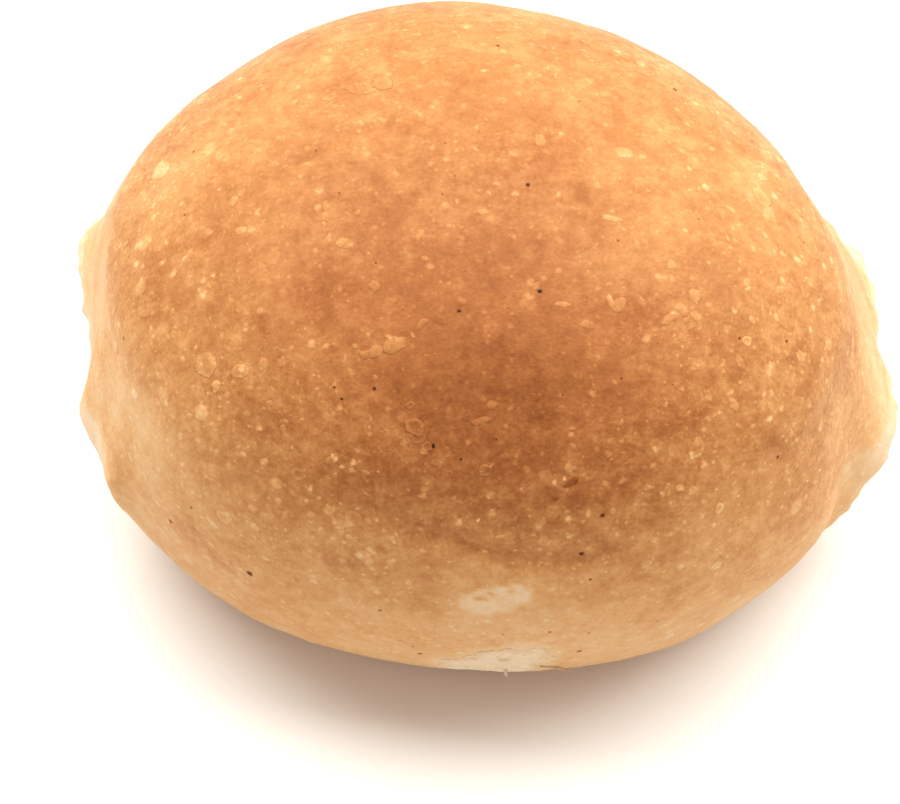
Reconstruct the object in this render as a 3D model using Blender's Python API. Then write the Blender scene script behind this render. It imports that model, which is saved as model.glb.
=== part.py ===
"""A soft bread roll, baked in a batch and torn from a neighbour on its left and on its right.

The roll is one solid. Lengths are in metres and +Z is up. X runs from one torn side to the other, -Y is the
front, and the origin is on the table, under the middle of the roll.
"""

import math

import bmesh
import bpy
from mathutils import Vector, noise

# Size of the crust
HALF_WIDTH = 0.0459  # from the core to the crust along X, at the widest level
HALF_DEPTH = 0.0400  # the same along Y
HEIGHT = 0.0562  # from the table to the crown
WIDEST_LEVEL = 0.0211  # height at which the roll bulges most, where its core is taken to be

# Form of the crust
FULLNESS = 2.29  # 2 is a plain ellipse in profile, and more is squarer
PRESSED_FULLNESS = 3.1  # the same below the widest level at both sides, where neighbours pressed
UNDERCURVE = 0.0302  # how deep the underside would hang if the tray did not flatten it
RIM_ROUNDING = 0.0015  # half the height over which the side turns into the flat base
PLAN_WAVES = ((1, 0.019, 0.0), (2, -0.033, 0.0), (3, -0.020, 20.0))  # waves in a turn, share, delay in degrees
LUMP_SHARE = 0.006  # share that the slow lumps of the dough add to or take from the crust's distance
LUMP_PITCH = 2.4  # lumps across one radius of the roll
LUMP_SEED = Vector((4.1, 7.3, 2.6))  # place in the noise field that gives this roll its own lumps

# Torn faces, where the neighbours were pulled off, on the left (-1) and on the right (1)
TEAR_REACH = {-1: 0.0457, 1: 0.0484}  # from the core out to the face
TEAR_SLANT = {-1: 0.10, 1: -0.05}  # how much further out the face lies for each metre towards the back
TEAR_BOW = {-1: -3.0, 1: 4.0}  # how far the face falls back, in metres per square metre from its middle
TEAR_MIDDLE = {-1: 0.0030, 1: 0.0010}  # how far behind the core the face has its middle
TEAR_HALF_LENGTH = {-1: 0.0180, 1: 0.0185}  # along Y
TEAR_LEVEL = 0.0140  # height of the middle
TEAR_HALF_HEIGHT = 0.0115
TEAR_LEAN = 0.10  # how much further out a face lies for each metre upwards
TEAR_EDGE = (0.80, 1.12)  # shares of the half sizes between which a face runs out into the crust
EDGE_WANDER = 0.14  # how far the outline of a face wanders, as a share of its half sizes
TUFT_DEPTH = 0.0007  # how far the torn crumb is pulled in and out of its face
TUFT_PITCH = 130.0  # tufts of crumb in a metre

# Mesh and finish
CUTS = 25  # cuts across each side of the cube that the roll is made from
CRUST_COLOUR = (0.62, 0.27, 0.08, 1.0)
CRUST_ROUGHNESS = 0.55


def clear_scene():
    """Remove whatever the file opened with."""
    for thing in list(bpy.data.objects):
        bpy.data.objects.remove(thing, do_unlink=True)


def smooth_step(low, high, value):
    """0 up to low, 1 from high on, and a soft ramp in between."""
    share = min(max((value - low) / (high - low), 0.0), 1.0)
    return share * share * (3.0 - 2.0 * share)


def plan_radius(angle):
    """Distance from the middle to the crust at the widest level, in one direction seen from above."""
    across = HALF_DEPTH * math.cos(angle)
    along = HALF_WIDTH * math.sin(angle)
    oval = HALF_WIDTH * HALF_DEPTH / math.hypot(across, along)
    unevenness = sum(
        share * math.sin(waves * angle - math.radians(delay)) for waves, share, delay in PLAN_WAVES
    )
    return oval * (1.0 + unevenness)


def crust_distance(direction):
    """Distance from the core, in the middle of the widest level, to the crust in a unit direction."""
    angle = math.atan2(direction.y, direction.x)
    outward = math.hypot(direction.x, direction.y) / plan_radius(angle)
    if direction.z > 0.0:
        upward = direction.z / (HEIGHT - WIDEST_LEVEL)
        fullness = FULLNESS
    else:
        upward = -direction.z / UNDERCURVE
        fullness = FULLNESS + (PRESSED_FULLNESS - FULLNESS) * math.cos(angle) ** 4
    even = (outward**fullness + upward**fullness) ** (-1.0 / fullness)
    lump = noise.noise(direction * LUMP_PITCH + LUMP_SEED)
    return even * (1.0 + LUMP_SHARE * lump)


def rest_on_tray(height):
    """Flatten what would hang below the tray, with a rounded rim around the flat base."""
    if height >= RIM_ROUNDING:
        return height
    if height <= -RIM_ROUNDING:
        return 0.0
    return (height + RIM_ROUNDING) ** 2 / (4.0 * RIM_ROUNDING)


def tear_share(point, side):
    """1 on the torn face of a side and 0 on the crust, with a wandering edge between them."""
    along = (point.y - TEAR_MIDDLE[side]) / TEAR_HALF_LENGTH[side]
    up = (point.z - TEAR_LEVEL) / TEAR_HALF_HEIGHT
    wander = EDGE_WANDER * noise.noise(point * TUFT_PITCH)
    low, high = TEAR_EDGE
    return 1.0 - smooth_step(low, high, math.hypot(along, up) + wander)


def torn_face(point, side):
    """The X of the torn face of a side, level with a point of the crust."""
    back = point.y - TEAR_MIDDLE[side]
    tilt = TEAR_SLANT[side] * back + TEAR_LEAN * (point.z - TEAR_LEVEL)
    tuft = TUFT_DEPTH * noise.noise(point * TUFT_PITCH)
    return side * (TEAR_REACH[side] + tilt - TEAR_BOW[side] * back**2 + tuft)


def pull_tear(point):
    """Move a point of a side out to the torn face, where the crumb let go of the neighbour."""
    side = 1 if point.x > 0.0 else -1
    step = torn_face(point, side) - point.x
    return Vector((point.x + step * tear_share(point, side), point.y, point.z))


def roll_point(direction):
    """The point of the roll's surface that lies in a direction from its core."""
    point = direction * crust_distance(direction)
    point.z = rest_on_tray(point.z + WIDEST_LEVEL)
    return pull_tear(point)


def centre_over_origin(mesh):
    """Shift the mesh so that the origin is under the middle of its box."""
    lows = [min(vert.co[axis] for vert in mesh.verts) for axis in range(3)]
    highs = [max(vert.co[axis] for vert in mesh.verts) for axis in range(3)]
    middle = Vector(((lows[0] + highs[0]) / 2.0, (lows[1] + highs[1]) / 2.0, lows[2]))
    bmesh.ops.translate(mesh, verts=mesh.verts, vec=-middle)


def roll_mesh():
    """A finely cut cube whose points are moved out to the roll's surface."""
    cube = bmesh.new()
    bmesh.ops.create_cube(cube, size=2.0)
    bmesh.ops.subdivide_edges(cube, edges=cube.edges[:], cuts=CUTS, use_grid_fill=True)
    for vert in cube.verts:
        evened = Vector(math.tan(axis * math.pi / 4.0) for axis in vert.co)
        vert.co = roll_point(evened.normalized())
    centre_over_origin(cube)
    bmesh.ops.recalc_face_normals(cube, faces=cube.faces[:])
    mesh = bpy.data.meshes.new("bread_roll")
    cube.to_mesh(mesh)
    cube.free()
    mesh.shade_smooth()
    return mesh


def crust_material():
    """Baked crust, in one plain golden brown."""
    material = bpy.data.materials.new("crust")
    material.use_nodes = True
    shader = material.node_tree.nodes["Principled BSDF"]
    shader.inputs["Base Color"].default_value = CRUST_COLOUR
    shader.inputs["Roughness"].default_value = CRUST_ROUGHNESS
    shader.inputs["Metallic"].default_value = 0.0
    return material


def build_roll():
    """The bread roll as one object, in a collection of its own."""
    collection = bpy.data.collections.new("bread_roll")
    bpy.context.scene.collection.children.link(collection)
    roll = bpy.data.objects.new("bread_roll", roll_mesh())
    roll.data.materials.append(crust_material())
    collection.objects.link(roll)
    return roll


clear_scene()
build_roll()
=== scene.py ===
# %% [markdown]
# # A soft bread roll, torn from its batch
# The roll was baked shoulder to shoulder with its neighbours. Its crown browned freely, its two sides were
# pressed against other rolls, and when the batch was pulled apart the sides tore and showed the pale
# crumb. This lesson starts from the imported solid, which fixes the size and the form, and dresses it: a
# dense skin with lobes and folds, painted browning, small blisters, three torn faces of crumb and a few
# loose shreds, in two materials, crust and crumb.

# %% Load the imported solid
import math
import random
from dataclasses import dataclass

import bmesh
import bpy
import numpy as np
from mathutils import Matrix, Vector, noise
from mathutils.bvhtree import BVHTree


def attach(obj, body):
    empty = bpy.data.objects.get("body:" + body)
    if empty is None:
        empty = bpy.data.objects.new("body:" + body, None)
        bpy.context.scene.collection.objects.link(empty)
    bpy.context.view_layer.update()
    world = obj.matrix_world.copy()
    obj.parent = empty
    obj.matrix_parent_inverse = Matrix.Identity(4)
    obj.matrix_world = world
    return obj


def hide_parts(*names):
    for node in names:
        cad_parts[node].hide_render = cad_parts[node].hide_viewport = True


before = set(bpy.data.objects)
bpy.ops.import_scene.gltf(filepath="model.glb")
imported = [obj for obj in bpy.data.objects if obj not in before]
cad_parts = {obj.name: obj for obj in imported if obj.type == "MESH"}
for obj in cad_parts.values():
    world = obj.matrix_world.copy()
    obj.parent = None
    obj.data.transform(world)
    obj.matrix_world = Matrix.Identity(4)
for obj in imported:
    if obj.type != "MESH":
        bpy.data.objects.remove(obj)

scene = bpy.context.scene
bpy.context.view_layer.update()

# %% [markdown]
# ## Words for a place on the roll
# A roll has no corners to measure from. A baker points at it: "a bit left of the front, half way up".
# Plain X, Y and Z could say it too, but each place would then have to be worked out on the curved crust.
# Two angles are closer to the baker's words: the bearing goes round the roll from the front (0) to the
# right (90), and the rise goes up from the core's own level (0) to the crown (90). All sizes below are in
# millimetres, because that is the scale of blisters and pores, and they are turned into metres only when a
# mesh is made.

# %% Bearings and rises
MM = 0.001
CORE = np.array((0.0, 0.0, 21.0))  # middle of the widest level


def heading(bearing, rise):
    """Unit vector from the core towards a bearing and a rise, both in degrees."""
    turn = math.radians(bearing)
    lift = math.radians(rise)
    return np.array(
        (math.sin(turn) * math.cos(lift), -math.cos(turn) * math.cos(lift), math.sin(lift))
    )


def soft_step(low, high, value):
    """0 up to low, 1 from high on, and a soft ramp in between."""
    share = np.clip((value - low) / (high - low), 0.0, 1.0)
    return share * share * (3.0 - 2.0 * share)


def cloud(points, pitch, seed):
    """A soft random value from about -1 to 1 at each point, with lumps of about the pitch in size."""
    shift = Vector((seed * 17.3, seed * 5.9, seed * 11.1))
    return np.array([noise.noise(Vector(point) / pitch + shift) for point in points])


print("straight to the front is", heading(0, 0))

# %% [markdown]
# ## The camera
# The roll is looked at from well above, as food lying on a table is. A camera could be turned by hand
# until the roll fits. Here it stands at a distance from the core, up a slope, and to_track_quat turns it
# towards the point it aims at, so that the whole view is told by four values. A long lens keeps the form
# from bulging.

# %% Set up the camera
CAMERA_RISE = math.radians(57.0)
CAMERA_DISTANCE = 0.2185  # metres from the core
CAMERA_AIM = Vector((-0.0031, -0.0064, 0.0168))  # a little left of the core, in front of it and below it
CAMERA_LENS = 73.06

camera_data = bpy.data.cameras.new("camera")
camera_data.lens = CAMERA_LENS
camera_data.sensor_width = 36.0
camera_data.clip_start = 0.01
camera = bpy.data.objects.new("camera", camera_data)
camera.location = Vector(CORE) * MM + CAMERA_DISTANCE * Vector(
    (0.0, -math.cos(CAMERA_RISE), math.sin(CAMERA_RISE))
)
camera.rotation_euler = (CAMERA_AIM - camera.location).to_track_quat("-Z", "Y").to_euler()
scene.collection.objects.link(camera)
scene.camera = camera
print("the camera stands at", [round(value, 4) for value in camera.location])

# %% [markdown]
# ## The skin
# The crust is one closed skin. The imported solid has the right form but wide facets, so a much denser ball
# is drawn tight around it: a cube is cut fine and rounded into a ball of even squares, the Shrinkwrap
# modifier lays it on the solid, and the Smooth modifier takes the facets out. A cube's six faces spread
# the squares more evenly than a globe does, whose squares crowd at the poles.

# %% Draw a dense ball tight around the solid
SKIN_CUTS = 127  # cuts across each side of the cube
BALL_RADIUS = 0.08  # metres, well outside the solid
SMOOTHING_ROUNDS = 50


def even_ball(cuts, radius):
    """A ball of even squares around the core, in metres."""
    ball = bmesh.new()
    bmesh.ops.create_cube(ball, size=2.0)
    bmesh.ops.subdivide_edges(ball, edges=ball.edges[:], cuts=cuts, use_grid_fill=True)
    for vert in ball.verts:
        evened = Vector([math.tan(axis * math.pi / 4.0) for axis in vert.co])
        vert.co = evened.normalized() * radius + Vector(CORE) * MM
    bmesh.ops.recalc_face_normals(ball, faces=ball.faces[:])
    mesh = bpy.data.meshes.new("crust_skin")
    ball.to_mesh(mesh)
    ball.free()
    return mesh


skin = bpy.data.objects.new("crust_skin", even_ball(SKIN_CUTS, BALL_RADIUS))
scene.collection.objects.link(skin)

wrap = skin.modifiers.new("lay on the solid", "SHRINKWRAP")
wrap.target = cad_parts["bread_roll"]
wrap.wrap_method = "PROJECT"
wrap.use_negative_direction = True
wrap.use_positive_direction = False
evening = skin.modifiers.new("take the facets out", "SMOOTH")
evening.iterations = SMOOTHING_ROUNDS


def apply_modifiers(piece):
    """Turn what the modifiers of a piece show into its real mesh."""
    shown = bpy.data.meshes.new_from_object(piece.evaluated_get(bpy.context.evaluated_depsgraph_get()))
    piece.modifiers.clear()
    piece.data = shown
    shown.name = piece.name
    return shown


tight = apply_modifiers(skin)
print("the skin has", len(tight.polygons), "squares")

# %% [markdown]
# ## Sculpting with numbers
# The lobes and folds of this roll could be sculpted with brushes, but a script can't read or repeat a
# brush stroke. So the points of the skin are read into an array, where one line of sums moves them all,
# and they go back into the mesh when the form is done. A BVHTree is a searchable copy of a surface: a ray
# cast on it tells where a place on the roll is.

# %% Read the plain skin
def read_points(mesh):
    """The points of a mesh as rows of x, y, z in millimetres."""
    flat = np.empty(len(mesh.vertices) * 3)
    mesh.vertices.foreach_get("co", flat)
    return flat.reshape(-1, 3) / MM


def read_normals(mesh):
    """The outward direction at each point of a mesh."""
    flat = np.empty(len(mesh.vertices) * 3)
    mesh.vertices.foreach_get("normal", flat)
    return flat.reshape(-1, 3)


def surface_of(points, faces):
    """A searchable copy of a surface, to lay other things on."""
    return BVHTree.FromPolygons([Vector(point) for point in points], faces)


skin_faces = [tuple(face.vertices) for face in tight.polygons]
plain_points = read_points(tight)
plain_normals = read_normals(tight)
plain_surface = surface_of(plain_points, skin_faces)
print("the plain skin reaches from", plain_points.min(0).round(1), "to", plain_points.max(0).round(1))

# %% [markdown]
# ## Where the neighbours were torn off
# The left and the right side were joined to other rolls, and a small patch low at the front stuck as well.
# Higher up at the front only the top skin peeled off and left a pale spot. Crust and crumb could each be
# given such an outline of their own, but the two would never quite meet. So each place is described once,
# as a wandering oval seen along one bearing. The skin asks how deep inside an oval a point lies, and sinks
# there. The crumb, made further on, asks the same and rises there, so the crust ends in a soft lip around
# it.

# %% Describe a torn face
OVAL_SQUARENESS = 2.4  # 2 is a plain ellipse, and more is squarer
WANDER_PITCH = 0.55  # slow wandering of an outline, as a share of the size of its oval
RAGGED_PITCH = 0.16  # its fine raggedness, as such a share
RAGGED_SHARE = 0.6  # how strong the fine raggedness is beside the slow wandering
FAR_OUTSIDE = -5.0  # how deep inside the oval any point of the far side counts as
FACING_REACH = 18.0  # the oval fades out between here and the core, so it never marks the far side


@dataclass
class TornFace:
    """A torn face of crumb: a leaning, wandering oval seen along its bearing, in millimetres."""

    name: str
    bearing: float
    along: float  # its middle, sideways
    level: float  # its middle, upwards
    half_length: float
    half_height: float
    lean: float  # how much it rises to one side
    wander: float  # how far its outline wanders, as a share of its size
    depth: float  # how far the skin sinks under it
    proud: float  # how far its crumb stands out
    rough: float  # how strong the relief of its crumb is
    fineness: float  # how much finer that relief is than at the sides
    seed: int

    def __post_init__(self):
        """Work out the two directions that the oval is seen in."""
        self.outward = heading(self.bearing, 0.0)
        self.sideways = np.array((-self.outward[1], self.outward[0], 0.0))

    def inside(self, points):
        """1 in the middle of the oval, 0 on its edge, below 0 outside, for points in millimetres."""
        across = (points @ self.sideways - self.along) / self.half_length
        up = (points[:, 2] - self.level) / self.half_height - self.lean * across
        size = math.sqrt(self.half_length * self.half_height)
        wandering = cloud(points, WANDER_PITCH * size, self.seed)
        ragged = cloud(points, RAGGED_PITCH * size, self.seed + 1)
        facing = soft_step(0.0, FACING_REACH, points @ self.outward)
        oval = 1.0 - np.sqrt(np.abs(across) ** OVAL_SQUARENESS + np.abs(up) ** OVAL_SQUARENESS)
        oval = oval + self.wander * (wandering + RAGGED_SHARE * ragged)
        return oval * facing + FAR_OUTSIDE * (1.0 - facing)


print("the outlines of the torn faces have a squareness of", OVAL_SQUARENESS)

# %% List the torn faces
# name, bearing, along, level, half length, half height, lean, wander, depth, proud, rough, fineness, seed
torn_faces = (
    TornFace("left", -90, -3.0, 12.0, 18.5, 9.6, -0.12, 0.17, 1.20, -0.20, 0.9, 1.0, 3),
    TornFace("right", 90, 1.0, 11.9, 18.0, 9.6, 0.10, 0.17, 1.20, -0.20, 0.9, 1.0, 8),
    TornFace("front", 3, 0.3, 13.3, 6.3, 6.8, 0.42, 0.26, 0.30, 0.04, 0.45, 2.2, 5),
)
# here only the top skin came off, so it shows no crumb
PEEL = TornFace("peel", 4, -0.3, 31.0, 3.6, 2.3, 0.50, 0.12, 0.07, 0.0, 0.0, 1.0, 12)
for face in torn_faces:
    print("torn face", face.name, "looks towards", face.outward.round(2))

# %% [markdown]
# ## Lobes at the torn sides
# Dough is never even. Where the batch was torn, the sides stand out in lobes and fall back between them.
# Noise could make lobes as well, but not the ones of this roll. So they are listed, as pushes in
# millimetres along the length of each side. Evened out, they swell the whole side. What the evening takes
# away are the narrow ones, and those only notch the edge of the tear.

# %% Set the lobes
# (place along Y, push outwards) for the left side (-1) and the right side (1)
LOBES = {
    -1: (
        (-25, 0.0), (-23, 0.4), (-21.5, 2.2), (-20, 1.6), (-18, 0.8), (-15, 0.3), (-12, 0.6), (-11, 0.7),
        (-8, -0.3), (-5, -0.8), (-3, -0.9), (0, -0.5), (3, 0.2), (6, 0.8), (10, 1.5), (13, 2.5), (15, 2.8),
        (17, 3.0), (19, 2.1), (22, 0.6), (25, 0.0),
    ),
    1: (
        (-27, 0.0), (-24, 0.4), (-21, -0.3), (-19, -1.3), (-17, -1.0), (-15, 0.4), (-13, 0.7), (-10, 0.8),
        (-7, 0.5), (-4, 0.6), (-1, -0.3), (1, 0.0), (3, 0.5), (6, 0.6), (10, 1.6), (13, 2.8), (15, 5.0),
        (16.5, 6.6), (18, 6.6), (20, 4.0), (23, 1.1), (26, 0.0),
    ),
}
LOBE_LEVELS = (4.0, 11.0, 21.0, 33.0)  # the broad lobes start, are full, stay full, and have died out
LIP_LEVELS = (13.0, 18.0, 22.0, 26.0)  # the same for the narrow ones
EVENING_STEPS = np.arange(-6.0, 6.5, 1.0)  # millimetres along Y that the evening looks at
EVENING_SPREAD = 4.0


def ramped(values, bounds):
    """1 between the two inner bounds, 0 beyond the outer ones, and soft ramps in between."""
    start, full, last, end = bounds
    return soft_step(start, full, values) * (1.0 - soft_step(last, end, values))


def lobe_at(places, side):
    """How far the lobes of a side stand out at each place along Y."""
    return np.interp(places, *zip(*LOBES[side]))


def broad_lobe_at(places, side):
    """The same with the narrow lobes evened out."""
    weights = np.exp(-((EVENING_STEPS / EVENING_SPREAD) ** 2))
    evened = sum(weight * lobe_at(places + step, side) for step, weight in zip(EVENING_STEPS, weights))
    return evened / weights.sum()


def lobes_at(points, side):
    """How far the broad lobes stand out beside each point, and how far the narrow ones do at its level."""
    broad = broad_lobe_at(points[:, 1], side)
    narrow = (lobe_at(points[:, 1], side) - broad) * ramped(points[:, 2], LIP_LEVELS)
    return broad, narrow


for side in (-1, 1):
    print("the lobes of side", side, "stand out by up to", max(push for _, push in LOBES[side]), "mm")

# %% [markdown]
# ## The wall above a tear
# The crust over a torn side was pulled out before it tore, so it doesn't bulge there: it runs almost
# straight from the shoulder to the edge of the tear, and the crumb falls back a little below. The skin
# could be flattened with another modifier, but that would take the lobes away too. Instead rays measure
# how far out the skin lies at the level of the tear and at the shoulder, and the points between move
# towards a straight line.

# %% Measure the edge of the tear and the shoulder
TEAR_LEVEL = 21.0
SHOULDER_LEVEL = 42.0
SURVEYED = np.arange(-30.0, 27.0, 1.0)  # places along Y where the reach of the skin is measured


def reach_at(level, side):
    """How far out the plain skin lies at one level of a side, for each surveyed place along Y."""
    reach = []
    for place in SURVEYED:
        start = Vector((side * 90.0, place, level))
        hit, _, _, _ = plain_surface.ray_cast(start, Vector((-side, 0.0, 0.0)))
        reach.append(side * hit.x)
    return np.array(reach)


tear_reach = {side: reach_at(TEAR_LEVEL, side) for side in (-1, 1)}
shoulder_reach = {side: reach_at(SHOULDER_LEVEL, side) for side in (-1, 1)}


def edge_reach(places, side):
    """How far out the edge of the tear lies at each place along Y, with its lobes."""
    return np.interp(places, SURVEYED, tear_reach[side]) + lobe_at(places, side)


print("the edge of the right tear lies at", edge_reach(np.array((-12.0, 0.0, 12.0)), 1).round(1), "mm")

# %% Let the crust run straight out to the tear
SIDE_REACH = 20.0  # points further out than this belong to a side
LOBED_REACH = (30.0, 42.0)  # the lobes start this far out, and are full
WALL_LEVELS = (19.5, 22.5, 36.0, 44.0)  # the straight wall starts, is full, stays full, and has ended
WALL_ALONG = (-33.0, -12.0, 9.0, 20.0)  # the same along Y, from the front to the back
STRAIGHTNESS = 0.75
HOLLOW = 0.9  # how far the torn crumb falls back below the edge
HOLLOW_LEVELS = (2.0, 8.0, 15.0, 20.0)
HOLLOW_ALONG = (-20.0, -15.5, 12.0, 18.0)


def side_push(points, side):
    """How far each point of a side moves outwards, to its lobes, its straight wall and its hollow."""
    reach = side * points[:, 0]
    along = points[:, 1]
    level = points[:, 2]
    broad, narrow = lobes_at(points, side)
    push = (broad * ramped(level, LOBE_LEVELS) + narrow) * soft_step(*LOBED_REACH, reach)
    edge = np.interp(along, SURVEYED, tear_reach[side]) + broad
    shoulder = np.interp(along, SURVEYED, shoulder_reach[side])
    share = np.clip((level - TEAR_LEVEL) / (SHOULDER_LEVEL - TEAR_LEVEL), 0.0, 1.0)
    straight = edge + (shoulder - edge) * share + narrow - reach
    wall = STRAIGHTNESS * ramped(level, WALL_LEVELS) * ramped(along, WALL_ALONG)
    hollow = HOLLOW * ramped(level, HOLLOW_LEVELS) * ramped(along, HOLLOW_ALONG)
    return (push + (straight - push) * wall - hollow) * (reach > SIDE_REACH)


print("the right side moves by up to", round(np.abs(side_push(plain_points, 1)).max(), 2), "mm")

# %% [markdown]
# ## Bulges and lumps
# A hand shaped this dough, so the light never runs quite evenly over it. A Displace modifier with a clouds
# texture could make the slow lumps, but the crumb has to follow them too, so they are sums of noise that
# any set of points can ask for. A few bulges and dents are listed where the outline asks for them.
# All push the skin along its own outward direction, so that the form swells and doesn't shear.

# %% Push the bulges and lumps
# (bearing, rise, spread in millimetres, push outwards)
BULGES = (
    (-98, 18, 7.0, 0.7),
    (101, 22, 6.0, -0.9),
    (48, -13, 8.0, -0.5),
    (5, -13, 14.0, -0.4),
    (-131, 29, 10.0, -0.5),
    (141, 33, 10.0, 0.5),
)
LUMPS = ((0.16, 9.0, 21), (0.07, 4.0, 22), (0.03, 1.8, 23))  # (height, pitch in millimetres, seed)
LUMP_LEVELS = (1.0, 8.0)  # there are no lumps below, where the tray was, and full ones above


def on_skin(surface, bearing, rise):
    """The place on a surface at a bearing and a rise, and the outward direction there."""
    place, outward, _, _ = surface.ray_cast(Vector(CORE), Vector(heading(bearing, rise)))
    return np.array(place), np.array(outward)


def soft_spot(points, surface, bearing, rise, spread):
    """1 at a place of a surface, falling off softly around it."""
    gap = np.linalg.norm(points - on_skin(surface, bearing, rise)[0], axis=1)
    return np.exp(-((gap / spread) ** 2))


def hand_formed(points, normals):
    """The points moved by the lobes of the sides, the bulges, and the slow lumps of the dough."""
    formed = points.copy()
    for side in (-1, 1):
        formed[:, 0] += side * side_push(points, side)
    lump = sum(height * cloud(points, pitch, seed) for height, pitch, seed in LUMPS)
    for bearing, rise, spread, push in BULGES:
        lump += push * soft_spot(points, plain_surface, bearing, rise, spread)
    return formed + normals * (lump * soft_step(*LUMP_LEVELS, points[:, 2]))[:, None]


formed_points = hand_formed(plain_points, plain_normals)
formed_surface = surface_of(formed_points, skin_faces)
print("the skin moves by up to", round(np.abs(formed_points - plain_points).max(), 2), "mm")

# %% [markdown]
# ## Folds and wrinkles
# A long soft fold crosses the front low down, where the dough rolled over itself, and finer wrinkles cross
# the crown. They could be drawn in the relief of the material, but a groove in the mesh also shows from
# the side and in an export. Each is a short list of places that a groove runs through, and it wobbles on
# its way.

# %% Press in the folds
# name: (bearing, rise) of the places it runs through, half width and depth in millimetres
GROOVES = {
    "front fold": (((-9, 27), (-2, 26), (3, 24), (12, 22), (20, 22)), 1.1, 0.28),
    "left wrinkle": (((-74, 44), (-81, 50), (-90, 60), (-99, 66), (-121, 74)), 0.8, 0.16),
    "far wrinkle": (((163, 57), (150, 53), (141, 51)), 1.3, 0.15),
    "shoulder wrinkle": (((52, 52), (60, 47), (71, 44)), 0.7, 0.10),
}
WOBBLE = 0.5  # how far a groove strays, in millimetres
WOBBLE_PITCH = 3.0


def distance_to_path(points, path):
    """Distance from each point to a line drawn through the places of a path."""
    nearest = np.full(len(points), np.inf)
    for start, end in zip(path[:-1], path[1:]):
        step = end - start
        share = np.clip((points - start) @ step / (step @ step), 0.0, 1.0)
        gap = points - (start + share[:, None] * step)
        nearest = np.minimum(nearest, np.linalg.norm(gap, axis=1))
    return nearest


def groove_depth(points):
    """How deep the folds and wrinkles press into the skin at each point."""
    strays = [cloud(points, WOBBLE_PITCH, seed) for seed in (31, 32, 33)]
    strayed = points + WOBBLE * np.stack(strays, axis=1)
    depth = np.zeros(len(points))
    for places, half_width, deepest in GROOVES.values():
        path = [on_skin(formed_surface, bearing, rise)[0] for bearing, rise in places]
        depth += deepest * np.exp(-((distance_to_path(strayed, path) / half_width) ** 2))
    return depth


folds = groove_depth(formed_points)
print("the deepest fold is", round(folds.max(), 2), "mm")

# %% [markdown]
# ## The lip round the tears, and the baked base
# The skin has to make room for the crumb, and at the two sides it was pulled up into a thin uneven lip
# just before it tore. Holes could be cut in it, but sinking it keeps the skin closed and its squares even.
# The base is flat, because it lay on a tray, and pocked by small bubbles that were trapped under it. It
# can't be seen while the roll lies there, but it is finished all the same, because a part is turned over
# sooner or later.

# %% Sink the skin under the torn crumb, and raise its lip
SUNK_INSIDE = (0.0, 0.25)  # how deep inside an oval the crust starts to sink, and has sunk
LIP_HEIGHT = 0.55
LIP_MIDDLE = -0.06  # how deep inside an oval the lip is highest: just outside its edge
LIP_SPREAD = 0.09


def sunk_for_crumb(points):
    """How far the crust falls back at each point, to make room for torn crumb."""
    sunk = np.zeros(len(points))
    for face in (*torn_faces, PEEL):
        sunk = np.maximum(sunk, face.depth * soft_step(*SUNK_INSIDE, face.inside(points)))
    return sunk


def torn_lip(points):
    """How far the crust stands out at each point, where it was pulled along just before it tore."""
    pulled = np.clip(cloud(points, 2.4, 35) + 0.4 * cloud(points, 1.1, 36) + 0.25, 0.0, None)
    lip = np.zeros(len(points))
    for face in torn_faces[:2]:
        lip += LIP_HEIGHT * pulled * np.exp(-(((face.inside(points) - LIP_MIDDLE) / LIP_SPREAD) ** 2))
    return lip


sunk = sunk_for_crumb(plain_points) - torn_lip(plain_points)
skin_points = formed_points - plain_normals * (folds + sunk)[:, None]
print("the lip stands out by up to", round(-sunk.min(), 2), "mm")

# %% Flatten and pock the base
BASE_LEVELS = (0.25, 1.2)  # the base ends, and the side begins
POCK_DEPTH = 0.35

base_share = 1.0 - soft_step(*BASE_LEVELS, plain_points[:, 2])
small_pocks = np.clip(cloud(plain_points, 2.6, 41) - 0.15, 0.0, None)
wide_pocks = np.clip(cloud(plain_points, 6.0, 42), 0.0, None)
skin_points[:, 2] += base_share * POCK_DEPTH * (small_pocks + 0.4 * wide_pocks)
skin_points[:, 2] = np.maximum(skin_points[:, 2], 0.0)
skin_surface = surface_of(skin_points, skin_faces)
print("the base is pocked up to", round(skin_points[base_share > 0.9, 2].max(), 2), "mm deep")

# %% [markdown]
# ## How brown each place is
# Browning is one number per point: 0 is the pale skin that a neighbour covered, 1 is the darkest patch of
# the crown. A texture wrapped round the roll could hold it too, but would need an unwrapped mesh, and a
# number per point doesn't. It is painted as a few soft spots on an even gold, paled towards the tray and
# beside the tears, and broken up by slow clouds. Some of it is painted light and shade rather than
# browning. A spot low at the front left is painted shade, and a spot at the front near the fold is partly
# painted light. The folds and the pores of the peeled spot are darkened as painted shade. The crust
# material turns the number into a colour, so that a darker place also turns redder, as real crust does.

# %% Paint the browning
GOLD = 0.55  # browning where nothing else is said
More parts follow.
